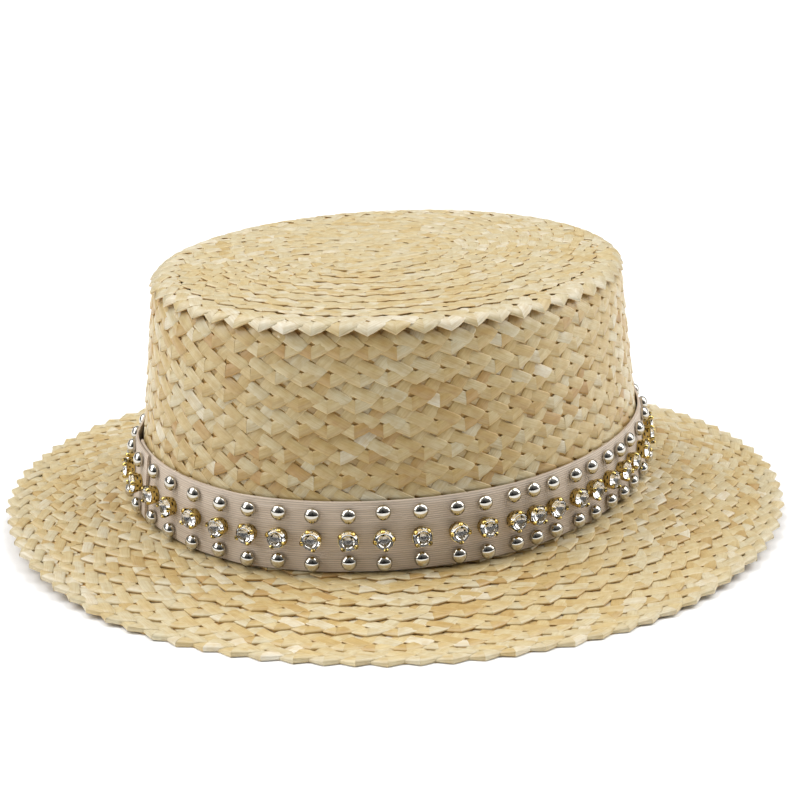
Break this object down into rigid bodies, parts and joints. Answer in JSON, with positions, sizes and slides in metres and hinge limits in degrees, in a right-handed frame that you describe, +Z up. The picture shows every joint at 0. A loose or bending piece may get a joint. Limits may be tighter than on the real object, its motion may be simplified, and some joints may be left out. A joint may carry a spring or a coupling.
{
  "type": "straw boater hat",
  "caption": "Flat-topped straw boater with a toothed plaited brim and a ribbon set with domed studs and claw-set crystals.",
  "frame": {"origin": "centre of the box on the surface that the brim rests on", "axes": "+Z up through the crown, +X along the long axis of the oval, front to back of the head"},
  "size_m": [0.2944, 0.2934, 0.0955],
  "materials": {
    "natural_straw": "satin plaited wheat straw",
    "ribbon_cloth": "matte fine-ribbed ribbon",
    "stud_silver": "polished",
    "setting_gold": "polished",
    "crystal_glass": "clear cut"
  },
  "bodies": {
    "root": {"brim": "natural_straw", "crown_side": "natural_straw", "crown_tip": "natural_straw", "studded_ribbon": "ribbon_cloth", "crystal_01": "crystal_glass", "crystal_02": "crystal_glass", "crystal_03": "crystal_glass", "crystal_04": "crystal_glass", "crystal_05": "crystal_glass", "crystal_06": "crystal_glass", "crystal_07": "crystal_glass", "crystal_08": "crystal_glass", "crystal_09": "crystal_glass", "crystal_10": "crystal_glass", "crystal_11": "crystal_glass", "crystal_12": "crystal_glass", "crystal_13": "crystal_glass", "crystal_14": "crystal_glass", "crystal_15": "crystal_glass", "crystal_16": "crystal_glass", "crystal_17": "crystal_glass", "crystal_18": "crystal_glass", "crystal_19": "crystal_glass", "crystal_20": "crystal_glass", "crystal_21": "crystal_glass", "crystal_22": "crystal_glass", "crystal_23": "crystal_glass", "crystal_24": "crystal_glass", "crystal_25": "crystal_glass", "crystal_26": "crystal_glass", "crystal_27": "crystal_glass", "crystal_28": "crystal_glass", "crystal_29": "crystal_glass", "crystal_30": "crystal_glass", "crystal_31": "crystal_glass", "crystal_32": "crystal_glass", "crystal_33": "crystal_glass", "crystal_34": "crystal_glass", "crystal_35": "crystal_glass", "crystal_36": "crystal_glass", "crystal_37": "crystal_glass", "crystal_38": "crystal_glass", "crystal_39": "crystal_glass", "crystal_40": "crystal_glass", "crystal_41": "crystal_glass", "crystal_42": "crystal_glass", "crystal_43": "crystal_glass", "crystal_44": "crystal_glass", "crystal_45": "crystal_glass"}
  },
  "joints": []
}
